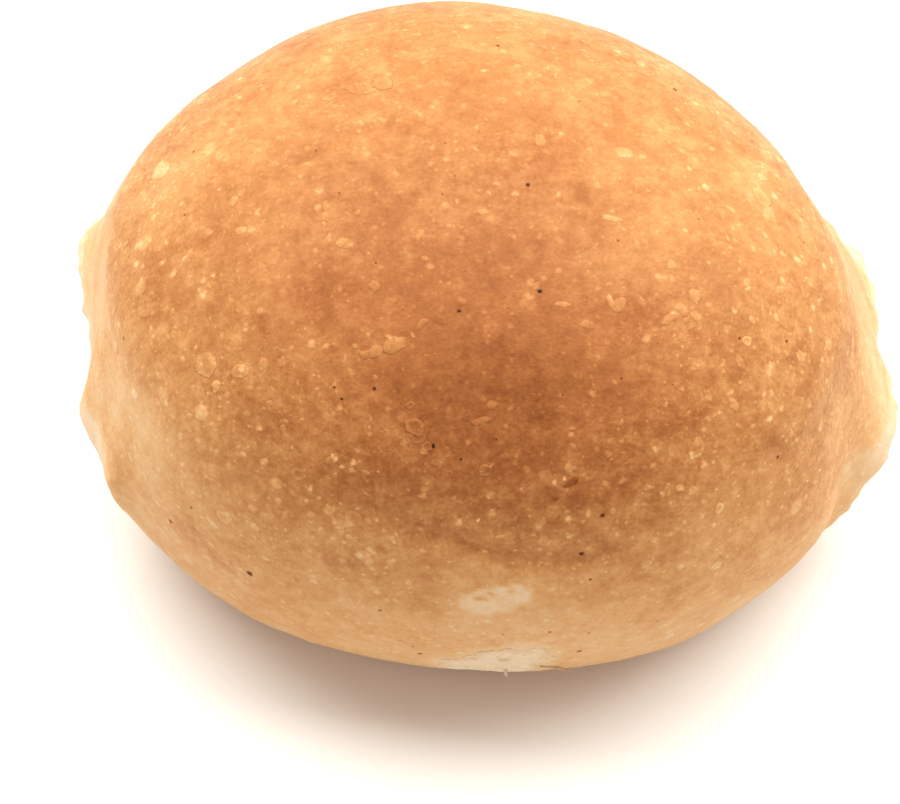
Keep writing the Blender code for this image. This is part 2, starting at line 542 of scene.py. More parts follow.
# (bearing, rise, spread in millimetres, how much browner); one spot is painted shade and one is partly
# painted light
BROWNING_AND_LIGHT_SPOTS = (
    (8, 46, 15.0, 0.33),
    (-14, 43, 8.0, 0.06),
    (20, 84, 15.0, 0.13),
    (-35, 60, 12.0, 0.06),
    (-68, 54, 9.0, 0.07),
    (-91, 39, 10.0, -0.08),
    (-40, 40, 9.0, 0.04),
    (-62, 22, 9.0, -0.12),
    (-21, 25, 8.0, 0.05),
    (42, 42, 11.0, 0.04),
    (86, 37, 8.0, -0.07),
    (90, 55, 13.0, -0.06),
    (56, 18, 8.0, 0.14),
    # partly painted light: paler at the front near the fold, partly paler crust and partly light painted
    # where the lamp behind leaves the front in shade
    (4, 28, 8.0, -0.05),
    (-2, 34, 6.0, -0.05),
    (-32, 21, 5.0, 0.05),
    (29, 27, 6.0, 0.08),
    (14, 42, 5.0, 0.05),
    (-72, 37, 5.0, 0.07),
    (-52, 70, 6.0, 0.06),
    (76, 22, 5.0, 0.08),
    (42, 34, 5.0, -0.06),
    # painted shade: darker low at the front left, where the roll shades itself near the table
    (-35, -6, 8.0, 0.06),
    (10, 10, 9.0, -0.10),
    (180, 0, 18.0, 0.12),
)
# (height at which the crust starts to brown, height at which it is brown, how much paler it is below)
PALE_BANDS = ((33.0, 47.0, 0.22), (12.0, 32.0, 0.12))
CLOUDS = ((0.05, 11.0, 51), (0.075, 5.0, 52))  # (how much browner or paler, pitch in millimetres, seed)
# Painted shade: the folds and wrinkles are painted darker, the more so the deeper they are.
PAINTED_GROOVE_SHADE = 0.45  # for each millimetre of depth


def open_crust_browning(points):
    """Browning of the crust away from the tears: the gold, its spots, bands and clouds, and painted shade
    along the folds.
    """
    brown = np.full(len(points), GOLD)
    for bearing, rise, spread, more in BROWNING_AND_LIGHT_SPOTS:
        brown += more * soft_spot(points, formed_surface, bearing, rise, spread)
    for low, high, paler in PALE_BANDS:
        brown -= paler * (1.0 - soft_step(low, high, points[:, 2]))
    for strength, pitch, seed in CLOUDS:
        brown += strength * cloud(points, pitch, seed)
    return brown + PAINTED_GROOVE_SHADE * groove_depth(points)


print("the brownest spot adds", max(more for _, _, _, more in BROWNING_AND_LIGHT_SPOTS), "to the gold of", GOLD)

# %% Pale the crust beside the tears
# (how far in from the edge of a tear the paling starts, where it is full, how much paler it is there)
SIDE_BANDS = ((9.0, 2.0, 0.06), (1.4, 0.1, 0.18))
# where along Y this paling starts, is full, stays full, and has ended, on each side
PALE_ALONG = {-1: (-25.0, -14.0, 12.0, 22.0), 1: (-19.5, -13.0, 12.0, 22.0)}
STREAK_WIDTH = 1.3
STREAK_LENGTH = 8.0
STREAKING = 0.06  # how much the streaks, which run along the tears, brown or pale the crust


def tear_paling(points):
    """How much paler the crust is at each point because a torn side is near."""
    streaks = cloud(points * (STREAK_LENGTH / STREAK_WIDTH, 1.0, 1.0), STREAK_LENGTH, 53)
    paling = np.zeros(len(points))
    for side in (-1, 1):
        beside = ramped(points[:, 1], PALE_ALONG[side]) * (side * points[:, 0] > SIDE_REACH)
        inward = edge_reach(points[:, 1], side) - side * points[:, 0]
        for start, full, paler in SIDE_BANDS:
            paling += soft_step(start, full, inward) * beside * (paler - STREAKING * streaks)
    return paling


print("beside the tears the crust is paler by up to", round(tear_paling(skin_points).max(), 2))

# %% Bare the peeled spot, and put the browning together
PEEL_BROWNING = 0.07
PEEL_RIM = (-0.16, 0.18)  # how deep inside its oval the peeled spot starts, and is bare
# (bearing, rise, how much darker): painted shade in the small pores under the peeled skin
PEEL_PORE_SHADE = ((1, 15, 0.36), (2, 15, 0.36), (3, 16, 0.32), (6, 17, 0.28))
PORE_SPREAD = 0.36
STRIP_PALING = 0.12  # how much paler the crust is round the torn patch at the front
STRIP_MARGIN = -0.40  # how deep inside the oval of that patch this starts: well outside it
BASE_BROWNING = 0.48


def with_peel(points, brown):
    """The browning with the peeled spot in it, and with painted shade in the small pores of the skin
    beneath.
    """
    bare = soft_step(*PEEL_RIM, PEEL.inside(points) + 0.25 * cloud(points, 1.2, 54))
    brown = brown + bare * (PEEL_BROWNING + 0.06 * cloud(points, 1.6, 55) - brown)
    for bearing, rise, more in PEEL_PORE_SHADE:
        brown += more * soft_spot(points, formed_surface, bearing, rise, PORE_SPREAD)
    return brown


def browning_at(points):
    """Browning of the crust at each point, from 0, pale, to 1, darkest."""
    brown = with_peel(points, open_crust_browning(points) - tear_paling(points))
    brown -= STRIP_PALING * soft_step(STRIP_MARGIN, 0.0, torn_faces[2].inside(points))
    base = 1.0 - soft_step(0.3, 1.5, points[:, 2])
    return np.clip(brown * (1.0 - base) + BASE_BROWNING * base, 0.0, 1.0)


skin_browning = browning_at(skin_points)
print("browning runs from", round(skin_browning.min(), 2), "to", round(skin_browning.max(), 2))

# %% [markdown]
# ## Helpers for materials
# A material here is a small net of nodes, worked out for every spot of the surface. It could be wired by
# hand in the shader editor. Written down, each node would take several lines, so two helpers keep the
# cells short: one adds a node and plugs values or other nodes into it, the other does a sum.

# %% Helpers that add nodes
def add_node(tree, kind, sockets=None, **settings):
    """Add a node, set it up, and give its input sockets a value or the output of another node."""
    made = tree.nodes.new(kind)
    for name, value in settings.items():
        setattr(made, name, value)
    for socket, value in (sockets or {}).items():
        if isinstance(value, bpy.types.NodeSocket):
            tree.links.new(value, made.inputs[socket])
        else:
            made.inputs[socket].default_value = value
    return made


def sum_of(tree, operation, *values):
    """The output of a Math node."""
    return add_node(tree, "ShaderNodeMath", dict(enumerate(values)), operation=operation).outputs[0]


def soft_ramp(tree, value, low, high, bottom=0.0, top=1.0):
    """The output of a Map Range node with a soft ramp."""
    sockets = {"Value": value, "From Min": low, "From Max": high, "To Min": bottom, "To Max": top}
    made = add_node(tree, "ShaderNodeMapRange", sockets, interpolation_type="SMOOTHSTEP")
    return made.outputs["Result"]


def new_material(name):
    """A material with an empty net apart from its shader and its output."""
    material = bpy.data.materials.new(name)
    material.use_nodes = True
    return material, material.node_tree, material.node_tree.nodes["Principled BSDF"]


def in_millimetres(tree):
    """The place of each spot of the surface, in millimetres."""
    place = add_node(tree, "ShaderNodeTexCoord").outputs["Object"]
    scaled = add_node(tree, "ShaderNodeVectorMath", {0: place, "Scale": 1000.0}, operation="SCALE")
    return scaled.outputs[0]


def mottle(tree, place, per_mm, detail=3.0, roughness=0.55):
    """Cloudy noise from about -0.5 to 0.5."""
    sockets = {"Vector": place, "Scale": per_mm, "Detail": detail, "Roughness": roughness}
    value = add_node(tree, "ShaderNodeTexNoise", sockets).outputs["Fac"]
    return sum_of(tree, "SUBTRACT", value, 0.5)


def wobbled(tree, place, per_mm, reach):
    """The place, shifted about by noise, so that round spots turn into uneven ones."""
    sockets = {"Vector": place, "Scale": per_mm, "Detail": 2.0}
    colour = add_node(tree, "ShaderNodeTexNoise", sockets).outputs["Color"]
    centred = add_node(tree, "ShaderNodeVectorMath", {0: colour, 1: (0.5, 0.5, 0.5)}, operation="SUBTRACT")
    shift = add_node(
        tree, "ShaderNodeVectorMath", {0: centred.outputs[0], "Scale": reach}, operation="SCALE"
    )
    return add_node(tree, "ShaderNodeVectorMath", {0: place, 1: shift.outputs[0]}).outputs[0]


print("the helpers are ready")

# %% [markdown]
# ## Spots in the crust
# Pale starch specks, larger faint blisters and dark pores lie scattered in a real crust. Each could be a
# piece of its own, but there are thousands. Voronoi cells scatter them in the same way: each cell has one
# spot around its own point, with its own random size, and some cells have none.

# %% A helper that scatters spots
def spots(tree, place, per_mm, size, share, edge=0.55, shift=0.0):
    """1 inside scattered spots and 0 between them. size is the largest radius, as a share of a cell."""
    moved = add_node(tree, "ShaderNodeVectorMath", {0: place, 1: (shift, shift * 0.7, -shift)}).outputs[0]
    cell = add_node(tree, "ShaderNodeTexVoronoi", {"Vector": moved, "Scale": per_mm})
    draw = add_node(tree, "ShaderNodeSeparateColor", {"Color": cell.outputs["Color"]})
    radius = soft_ramp(tree, draw.outputs["Red"], 0.0, 1.0, size * 0.4, size)
    inner = sum_of(tree, "MULTIPLY", radius, edge)
    spot = soft_ramp(tree, cell.outputs["Distance"], radius, inner)
    chosen = sum_of(tree, "LESS_THAN", draw.outputs["Green"], share)
    strength = soft_ramp(tree, draw.outputs["Blue"], 0.0, 1.0, 0.35, 1.0)
    return sum_of(tree, "MULTIPLY", sum_of(tree, "MULTIPLY", spot, chosen), strength)


print("spots can be scattered")

# %% [markdown]
# ## The crust
# Baked crust is browned starch: matt, finely mottled, and redder the darker it is. It could be one flat
# texture, or one colour with noise on it. Here every layer of the crust either browns or pales the number
# painted above, and lifts or sinks the surface a little. At the end one colour ramp turns the browning
# into a colour, and one Bump node turns the heights, in metres, into relief, so that colour and relief
# always belong together.

# %% Choose the crust's colours
MOST_BROWN = 1.4  # browning of a burnt speck, at the far end of the ramp
CRUST_COLOURS = (  # browning, colour
    (0.00, (0.67, 0.480, 0.310)),
    (0.14, (0.63, 0.390, 0.195)),
    (0.28, (0.580, 0.300, 0.120)),
    (0.42, (0.475, 0.212, 0.073)),
    (0.58, (0.374, 0.145, 0.045)),
    (0.76, (0.286, 0.092, 0.026)),
    (1.00, (0.185, 0.051, 0.013)),
    (1.40, (0.030, 0.012, 0.006)),
)
print("the crust runs through", len(CRUST_COLOURS), "colours")

# %% Scatter the layers of the crust
crust, tree, shader = new_material("baked crust")
place = in_millimetres(tree)
uneven = wobbled(tree, place, per_mm=1.3, reach=0.7)

painted = add_node(tree, "ShaderNodeAttribute", attribute_name="browning").outputs["Fac"]
blister = add_node(tree, "ShaderNodeAttribute", attribute_name="blister").outputs["Fac"]
patches = mottle(tree, place, per_mm=0.22, detail=2.0, roughness=0.5)
leather = mottle(tree, place, per_mm=0.62, detail=4.0, roughness=0.62)
grain = mottle(tree, place, per_mm=2.4, detail=2.0, roughness=0.5)
pin_specks = spots(tree, uneven, per_mm=1.15, size=0.44, share=0.75, edge=0.25)
specks = spots(tree, uneven, per_mm=0.60, size=0.36, share=0.75, edge=0.30, shift=3.1)
faint_blisters = spots(tree, uneven, per_mm=0.27, size=0.34, share=0.75, edge=0.60, shift=9.4)
# The pores are browner: partly a browner rim round each, partly painted shade in the hole.
pores = spots(tree, place, per_mm=0.50, size=0.11, share=0.45, edge=0.30, shift=5.2)
crease = sum_of(tree, "ABSOLUTE", mottle(tree, uneven, per_mm=0.5, detail=2.0, roughness=0.5))
creases = soft_ramp(tree, crease, 0.035, 0.0)

# (layer, how much browner it makes the crust, how high it stands in metres)
CRUST_LAYERS = (
    (patches, 0.26, 0.0),
    (leather, 0.76, 0.00011),
    (grain, 0.33, 0.00003),
    (pin_specks, -0.26, 0.00002),
    (specks, -0.36, 0.00004),
    (faint_blisters, -0.16, 0.00003),
    (creases, -0.03, 0.00001),
    (pores, 0.80, -0.00008),
)
print("the crust has", len(CRUST_LAYERS), "layers")

# %% Add the layers up
CROWN_LEVELS = (44.0, 54.0)  # in millimetres, where the crown starts, and is full
CROWN_STRENGTH = 0.62  # strength of the marks on the crown, which is more even than the front
PALE_STRENGTH = 0.34  # and on pale crust, which is more even than brown crust
BLISTER_PALING = -0.20

marks = 0.0
height = 0.0
for layer, browner, lift in CRUST_LAYERS:
    marks = sum_of(tree, "MULTIPLY_ADD", layer, browner, marks)
    height = sum_of(tree, "MULTIPLY_ADD", layer, lift, height)
level = add_node(tree, "ShaderNodeSeparateXYZ", {0: place}).outputs["Z"]
calm = soft_ramp(tree, level, *CROWN_LEVELS, 1.0, CROWN_STRENGTH)
strength = soft_ramp(tree, painted, 0.12, 0.78, PALE_STRENGTH, calm)
browning = sum_of(tree, "MULTIPLY_ADD", marks, strength, painted)
browning = sum_of(tree, "MULTIPLY_ADD", blister, BLISTER_PALING, browning)
print("adding up takes the crust to", len(tree.nodes), "nodes")

# %% Turn the browning into colour and the heights into relief
ramp = add_node(tree, "ShaderNodeValToRGB", {"Fac": sum_of(tree, "DIVIDE", browning, MOST_BROWN)})
while len(ramp.color_ramp.elements) < len(CRUST_COLOURS):
    ramp.color_ramp.elements.new(1.0)
for element, (position, colour) in zip(ramp.color_ramp.elements, CRUST_COLOURS):
    element.position = position / MOST_BROWN
    element.color = (*colour, 1.0)

relief = add_node(tree, "ShaderNodeBump", {"Height": height, "Distance": 1.0, "Strength": 1.0})
roughness = sum_of(tree, "MULTIPLY_ADD", grain, 0.25, 0.52)
tree.links.new(ramp.outputs["Color"], shader.inputs["Base Color"])
tree.links.new(roughness, shader.inputs["Roughness"])
tree.links.new(relief.outputs["Normal"], shader.inputs["Normal"])
shader.inputs["Specular IOR Level"].default_value = 0.06
print("the crust has", len(tree.nodes), "nodes")

# %% [markdown]
# ## The crumb
# The inside of the roll is a pale, dry, open foam. It could be the crust's material with other colours,
# but crust lives by its colours, and crumb by its relief. So it is a smaller net of its own. The large
# holes are in the mesh, and the finest pores are a Voronoi pattern in the bump, where they cost no points.

# %% Mix the crumb
CRUMB_PALE = (0.70, 0.54, 0.37, 1.0)
# The darker crumb colour: the mottling reaches it here and there, and painted shade in the holes and pores
# reaches it too.
CRUMB_DARKER_AND_SHADED = (0.58, 0.39, 0.23, 1.0)
CRUMB_EDGE = (0.67, 0.47, 0.29, 1.0)  # where a shred of the crust still clings to it
PORE_DEPTH = 0.00010  # metres
FUZZ_HEIGHT = 0.00014


def mixed(tree, share, first, second):
    """The output of a Mix node that turns the first colour into the second."""
    sockets = {"Factor": share, "A": first, "B": second}
    made = add_node(tree, "ShaderNodeMix", data_type="RGBA")
    for socket in made.inputs:
        if socket.enabled and socket.name in sockets:
            value = sockets[socket.name]
            if isinstance(value, bpy.types.NodeSocket):
                tree.links.new(value, socket)
            else:
                socket.default_value = value
    return next(socket for socket in made.outputs if socket.enabled)


crumb, tree, shader = new_material("torn crumb")
place = in_millimetres(tree)
painted_shade = add_node(tree, "ShaderNodeAttribute", attribute_name="painted_shade").outputs["Fac"]
edge = add_node(tree, "ShaderNodeAttribute", attribute_name="edge").outputs["Fac"]
uneven = wobbled(tree, place, per_mm=2.0, reach=0.3)
fine_pores = spots(tree, uneven, per_mm=2.2, size=0.42, share=0.7, edge=0.4)
# The tone darkens at random, and also in the holes and the fine pores: painted shade.
tone = sum_of(tree, "MULTIPLY_ADD", mottle(tree, place, per_mm=0.5, detail=4.0), 0.8, painted_shade)
tone = sum_of(tree, "MULTIPLY_ADD", fine_pores, 0.20, tone)
clinging = sum_of(tree, "MULTIPLY_ADD", mottle(tree, place, per_mm=0.9, detail=3.0), 0.9, edge)
inner_colour = mixed(tree, tone, CRUMB_PALE, CRUMB_DARKER_AND_SHADED)
crumb_colour = mixed(tree, soft_ramp(tree, clinging, 0.15, 0.85), inner_colour, CRUMB_EDGE)
fuzz = mottle(tree, place, per_mm=3.0, detail=4.0, roughness=0.65)
height = sum_of(tree, "MULTIPLY", fine_pores, -PORE_DEPTH)
height = sum_of(tree, "MULTIPLY_ADD", fuzz, FUZZ_HEIGHT, height)
relief = add_node(tree, "ShaderNodeBump", {"Height": height, "Distance": 1.0, "Strength": 1.0})
tree.links.new(crumb_colour, shader.inputs["Base Color"])
tree.links.new(relief.outputs["Normal"], shader.inputs["Normal"])
shader.inputs["Roughness"].default_value = 0.78
shader.inputs["Specular IOR Level"].default_value = 0.25
print("the crumb has", len(tree.nodes), "nodes")

# %% [markdown]
# ## Dressing the skin
# A mesh shows its colour only once it has a material, and the material above also asks for its numbers per
# point. Every piece needs these steps, and has to ride on the body of the roll, so one helper does them
# all. The skin gets its sculpted points back here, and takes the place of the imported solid.

# %% Finish the skin
def dress(piece, material, values):
    """Give a piece its numbers per point and its material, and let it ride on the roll."""
    for name, numbers in values.items():
        layer = piece.data.attributes.new(name, "FLOAT", "POINT")
        layer.data.foreach_set("value", np.asarray(numbers, dtype=np.float32))
    piece.data.materials.clear()
    piece.data.materials.append(material)
    piece.data.shade_smooth()
    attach(piece, "root")
    print(piece.name, "has", len(piece.data.polygons), "faces")
    return piece


skin.data.vertices.foreach_set("co", (skin_points * MM).astype(np.float32).ravel())
skin.data.update()
dress(skin, crust, {"browning": skin_browning, "blister": np.zeros(len(skin_points))})
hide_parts("bread_roll")

# %% [markdown]
# ## Blisters
# Steam lifts the crust into small blisters, from half a millimetre to three across. They could be bumps in
# the material, but a real one catches the light with its edge, so each is a low closed dome that dives
# into the skin. A few are rings: their thin tops fell in again. The clearest ones are listed one by one,
# and the rest are strewn by a seeded draw, some of them next to an earlier one, since blisters come in
# groups.

# %% List the clearest blisters
# (bearing, rise, length, width, turn in degrees, height, paler)
CLEAR_BLISTERS = (
    (-98, 35, 2.9, 3.2, 140, 0.13, 1.1),
    (-82, 50, 1.5, 0.9, 128, 0.10, 1.0),
    (-50, 35, 1.5, 1.2, 97, 0.10, 0.9),
    (-45, 42, 1.7, 1.2, 98, 0.07, 0.7),
    (-42, 44, 1.2, 1.0, 85, 0.06, 0.5),
    (-21, 54, 2.6, 1.7, 28, 0.12, 0.8),
    (-25, 52, 1.9, 1.3, 46, 0.10, 0.6),
    (-27, 51, 1.2, 1.0, 10, 0.07, 0.5),
    (-16, 58, 1.6, 0.8, 57, 0.07, 0.5),
    (1, 45, 2.2, 0.9, 17, 0.08, 0.9),
    (26, 60, 2.0, 0.6, -15, 0.07, 1.1),
    (39, 57, 1.9, 0.7, -97, 0.08, 1.3),
    (21, 64, 1.2, 0.6, 47, 0.06, 0.8),
    (97, 66, 2.5, 1.5, -117, 0.05, 0.8),
    (88, 53, 1.2, 0.9, -148, 0.07, 1.0),
    (62, 66, 2.2, 0.9, -78, 0.06, 0.8),
    (62, 41, 1.2, 0.8, -109, 0.06, 0.9),
    (49, 50, 2.7, 0.9, -3, 0.06, 0.6),
    (17, 37, 1.4, 1.0, -8, 0.07, 0.8),
    (29, 31, 1.0, 0.9, -15, 0.07, 0.8),
    (34, 29, 1.2, 0.9, -22, 0.07, 0.7),
    (-33, 28, 1.6, 1.3, 22, 0.06, 0.6),
)
RING_BLISTERS = (
    (-54, 36, 2.7, 3.0, 126, 0.04, 0.6),
    (-48, 39, 2.2, 1.6, 33, 0.04, 0.6),
    (-71, 32, 2.6, 2.2, 154, 0.03, 0.4),
    (91, 43, 2.8, 2.0, -132, 0.04, 0.5),
    (58, 40, 1.3, 1.1, -43, 0.05, 1.0),
    (39, 33, 2.3, 1.9, 41, 0.04, 0.8),
    (-30, 31, 1.8, 1.5, 22, 0.04, 0.5),
    (-40, 17, 2.2, 1.7, 35, 0.05, 0.6),
    (39, 23, 1.0, 1.4, -26, 0.06, 0.9),
    (2, 38, 1.5, 1.4, 0, 0.05, 0.5),
    (-11, 42, 1.9, 1.5, 11, 0.05, 0.4),
)
print(len(CLEAR_BLISTERS), "blisters and", len(RING_BLISTERS), "rings are set by hand")

# %% Strew the others
STREWN = 420
STREWN_RINGS = 22
COMPANY = 0.35  # share of the strewn blisters that sit next to an earlier one
COMPANY_SPREAD = (3.0, 2.5)  # how far from it in bearing and in rise, in degrees
LOWEST = -0.25  # sine of the lowest rise at which blisters are strewn

draw = random.Random(11)


def strewn_blisters(count, most):
    """Blisters in random places on the crust, as (bearing, rise, length, width, turn, height, paler)."""
    least = 0.6 * most / 2.2
    made = []
    while len(made) < count:
        if made and draw.random() < COMPANY:
            near = draw.choice(made)
            bearing = near[0] + draw.gauss(0.0, COMPANY_SPREAD[0])
            rise = near[1] + draw.gauss(0.0, COMPANY_SPREAD[1])
        else:
            bearing = draw.uniform(-180.0, 180.0)
            rise = math.degrees(math.asin(draw.uniform(LOWEST, 1.0)))
        length = min(least + draw.expovariate(2.4), most)
        width = length * draw.uniform(0.45, 0.95)
        turn = draw.uniform(0.0, 180.0)
        height = 0.02 + 0.035 * length * draw.uniform(0.6, 1.0)
        made.append((bearing, rise, length, width, turn, height, draw.uniform(0.25, 0.9)))
    return made


strewn = strewn_blisters(STREWN, 2.0)
strewn_rings = strewn_blisters(STREWN_RINGS, 2.4)
print(len(strewn) + len(strewn_rings), "blisters are strewn")

# %% Shape one blister
SPOKES = 18
ROOT_DEPTH = 0.3  # how deep under the skin a blister is closed, in millimetres
OWN_SHAPE = 0.37  # step in the noise from one blister to the next
OUTLINE_RAGGED = ((0.34, 1.3), (0.16, 3.1))  # (share of the radius, pace round the blister)


def blister_points(blister, profile, surface, number):
    """Points of one blister, middle first and the point beneath it last, and how pale each is."""
    bearing, rise, length, width, turn, height, paler = blister
    place, outward = on_skin(surface, bearing, rise)
    east = np.cross((0.0, 0.0, 1.0), outward)
    east /= max(np.linalg.norm(east), 1e-6)
    north = np.cross(outward, east)
    cosine = math.cos(math.radians(turn))
    sine = math.sin(math.radians(turn))
    points = [place + outward * height * profile[0][1]]
    paleness = [profile[0][2] * paler]
    for share, lift, pale in profile[1:]:
        for spoke in range(SPOKES):
            angle = 2.0 * math.pi * spoke / SPOKES
            around = Vector((math.cos(angle), math.sin(angle), number * OWN_SHAPE))
            reach = share * (1.0 + sum(part * noise.noise(around * pace) for part, pace in OUTLINE_RAGGED))
            across = 0.5 * length * reach * math.cos(angle)
            up = 0.5 * width * reach * math.sin(angle)
            spot = place + east * (across * cosine - up * sine) + north * (across * sine + up * cosine)
            near, normal, _, _ = surface.find_nearest(Vector(spot))
            uneven = 1.0 + 0.5 * noise.noise(around * 1.9 + Vector((share, 4.0, 0.0)))
            points.append(np.array(near) + np.array(normal) * height * lift)
            paleness.append(pale * paler * uneven)
    points.append(place - outward * ROOT_DEPTH)
    paleness.append(0.0)
    return points, paleness


def blister_faces(first, rings):
    """Faces of a blister whose middle is the given point."""
    faces = []
    last = first + 1 + SPOKES * rings
    for spoke in range(SPOKES):
        after = (spoke + 1) % SPOKES
        faces.append((first, first + 1 + spoke, first + 1 + after))
        for ring in range(rings - 1):
            inner = first + 1 + ring * SPOKES
            outer = inner + SPOKES
            faces.append((inner + spoke, outer + spoke, outer + after, inner + after))
        faces.append((last - SPOKES + after, last - SPOKES + spoke, last))
    return faces


print("each ring of a blister has", SPOKES, "points")

# %% Join many blisters into one piece
# (share of the way from the middle to the edge, share of the height, share of the paleness)
DOME_PROFILE = (
    (0.0, 1.0, 0.9), (0.3, 0.94, 0.9), (0.55, 0.78, 1.0),
    (0.75, 0.5, 0.9), (0.9, 0.16, 0.45), (1.0, -0.12, 0.0),
)
# A ring is palest at its raised rim: partly paler thin skin, partly a painted highlight where the rim
# catches the light.
RING_PROFILE = (
    (0.0, 0.35, 0.2), (0.4, 0.4, 0.2), (0.62, 0.85, 0.75),
    (0.76, 1.0, 1.0), (0.9, 0.4, 0.45), (1.0, -0.12, 0.0),
)


def make_piece(name, points, faces, material, values):
    """A new object from points in millimetres and faces."""
    mesh = bpy.data.meshes.new(name)
    mesh.from_pydata([Vector(point) * MM for point in points], [], faces)
    piece = bpy.data.objects.new(name, mesh)
    scene.collection.objects.link(piece)
    return dress(piece, material, values)


def blister_piece(name, kinds):
    """One piece of blisters. kinds lists groups of them, each with the profile of its kind."""
    points, faces, paleness = [], [], []
    blisters = [(one, profile) for group, profile in kinds for one in group]
    for number, (one, profile) in enumerate(blisters):
        dome, pale = blister_points(one, profile, skin_surface, number)
        faces += blister_faces(len(points), len(profile) - 1)
        points += dome
        paleness += pale
    points = np.array(points)
    values = {"browning": browning_at(points), "blister": paleness}
    return make_piece(name, points, faces, crust, values)


print("a dome has", len(DOME_PROFILE) - 1, "rings round its middle")

# %% Lay on the blisters
# the dark flakes, listed as blisters are, with a negative paleness
FLAKES = ((17, 35, 2.1, 0.9, 30, 0.05, -1.2), (14, 33, 0.9, 0.7, 32, 0.05, -1.0))
FLAKE_ROOM = 1.8  # millimetres round a flake that are free of blisters
TEAR_ROOM = -0.12  # how deep inside an oval a blister may lie at most: a little outside it


def has_room(blister):
    """True if a blister lies on crust, away from torn crumb and from the dark flakes."""
    place = on_skin(skin_surface, blister[0], blister[1])[0]
    on_crust = all(face.inside(place[None])[0] < TEAR_ROOM for face in (*torn_faces, PEEL))
    flakes = [on_skin(skin_surface, one[0], one[1])[0] for one in FLAKES]
    return on_crust and all(np.linalg.norm(place - flake) > FLAKE_ROOM for flake in flakes)


kinds = (
    (CLEAR_BLISTERS, DOME_PROFILE),
    ([one for one in strewn if has_room(one)], DOME_PROFILE),
    (RING_BLISTERS, RING_PROFILE),
    ([one for one in strewn_rings if has_room(one)], RING_PROFILE),
)
blister_piece("blisters", kinds)

# %% [markdown]
# ## Dark flakes and burnt specks
# Two flakes of crust near the front browned more than the rest, and a few specks of bran or flour burnt to
# dots. They could be painted into the browning, but its points lie too far apart for so small a dot. So
# they are made like the blisters, only flat, and darker where those are paler.

# %% Lay on the flakes and the specks
SPECK_PROFILE = (
    (0.0, 1.0, 1.0), (0.35, 0.95, 1.0), (0.55, 0.8, 0.8),
    (0.75, 0.5, 0.35), (0.9, 0.16, 0.1), (1.0, -0.12, 0.0),
)
SPECK_SHAPE = (1.7, 1.5)  # length and width for each millimetre of size
SPECK_HEIGHT = 0.025
SPECK_DARKNESS = 2.2
DARKNESS_PER_MM = 3.6  # the larger a speck is, the darker it burnt
# (bearing, rise, size in millimetres)
BURNT_SPECKS = (
    (-35, 7, 0.62), (-50, 6, 0.42), (21, 29, 0.42), (17, 23, 0.50), (51, 24, 0.34), (125, 48, 0.42),
    (-8, -5, 0.46), (17, -3, 0.46), (-6, 61, 0.32), (21, 63, 0.38), (-8, 41, 0.40), (-22, 47, 0.34),
    (51, 80, 0.38), (-9, -2, 0.30), (-46, 14, 0.30), (-70, 26, 0.30), (64, 35, 0.30), (-30, 45, 0.26),
    (-14, 9, 0.30), (18, 18, 0.28), (18, 4, 0.26), (12, 6, 0.30), (5, 5, 0.24), (150, 30, 0.40),
    (-140, 40, 0.36), (175, 62, 0.34), (-160, 15, 0.42), (110, 20, 0.36),
)


def burnt_speck(bearing, rise, size):
    """A burnt speck in the same form as a blister, with a negative paleness."""
    darkness = -SPECK_DARKNESS - DARKNESS_PER_MM * size
    return (bearing, rise, SPECK_SHAPE[0] * size, SPECK_SHAPE[1] * size, 0, SPECK_HEIGHT, darkness)


blister_piece("dark_flakes", ((FLAKES, DOME_PROFILE),))
blister_piece("burnt_specks", (([burnt_speck(*one) for one in BURNT_SPECKS], SPECK_PROFILE),))

# %% [markdown]
# ## Torn crumb
# Torn crumb is a soft sponge of tufts and holes. The skin could be cut away to show a rough inside, but
# its points lie too far apart for pores. So each torn face gets a cushion of its own: a fine grid is laid
# on the skin, its middle is raised into tufts and sunk into holes, and its edge dives under the crust.
# Tufts come from noise folded at zero, which leaves sharp valleys, and holes come from Voronoi points,
# each with a round hollow of its own size.

# %% Make tufts and holes
# (height, pitch in millimetres, step of the seed) of the folded noise
TUFTS = ((0.6, 6.0, 0), (0.5, 2.2, 1))
FLUFF = (0.16, 0.9, 2)  # the same for plain noise on top of them
# (share of the depth, pitch in millimetres, share of the cells that have a hole, step of the seed)
HOLES = ((0.55, 3.4, 0.6, 0), (0.6, 1.6, 0.6, 3), (0.6, 0.9, 0.5, 4))
LOWERED = 0.38  # how far all of it is lowered, so that the tufts end about level with the crust


def hollows(points, pitch, share, seed):
    """Depth of round holes scattered in the crumb, with about one in each cube of the pitch."""
    depth = np.zeros(len(points))
    shift = Vector((seed, seed * 2.3, seed * 0.7))
    for index, point in enumerate(points):
        gaps, centres = noise.voronoi(Vector(point) / pitch + shift)
        luck = noise.cell(centres[0] * 7.7)
        if luck < share:
            radius = 0.25 + 0.3 * luck / share
            depth[index] = max(0.0, 1.0 - (gaps[0] / radius) ** 2) ** 0.5 * radius * pitch
    return depth


def crumb_relief(points, seed):
    """Height of the torn crumb, and how deep each point lies in a hole."""
    relief = sum(part * (0.5 - np.abs(cloud(points, pitch, seed + step))) for part, pitch, step in TUFTS)
    relief = relief + FLUFF[0] * cloud(points, FLUFF[1], seed + FLUFF[2]) - LOWERED
    holes = sum(part * hollows(points, pitch, share, seed + step) for part, pitch, share, step in HOLES)
    return relief - holes, holes


print("the holes of the crumb come in", len(HOLES), "sizes")

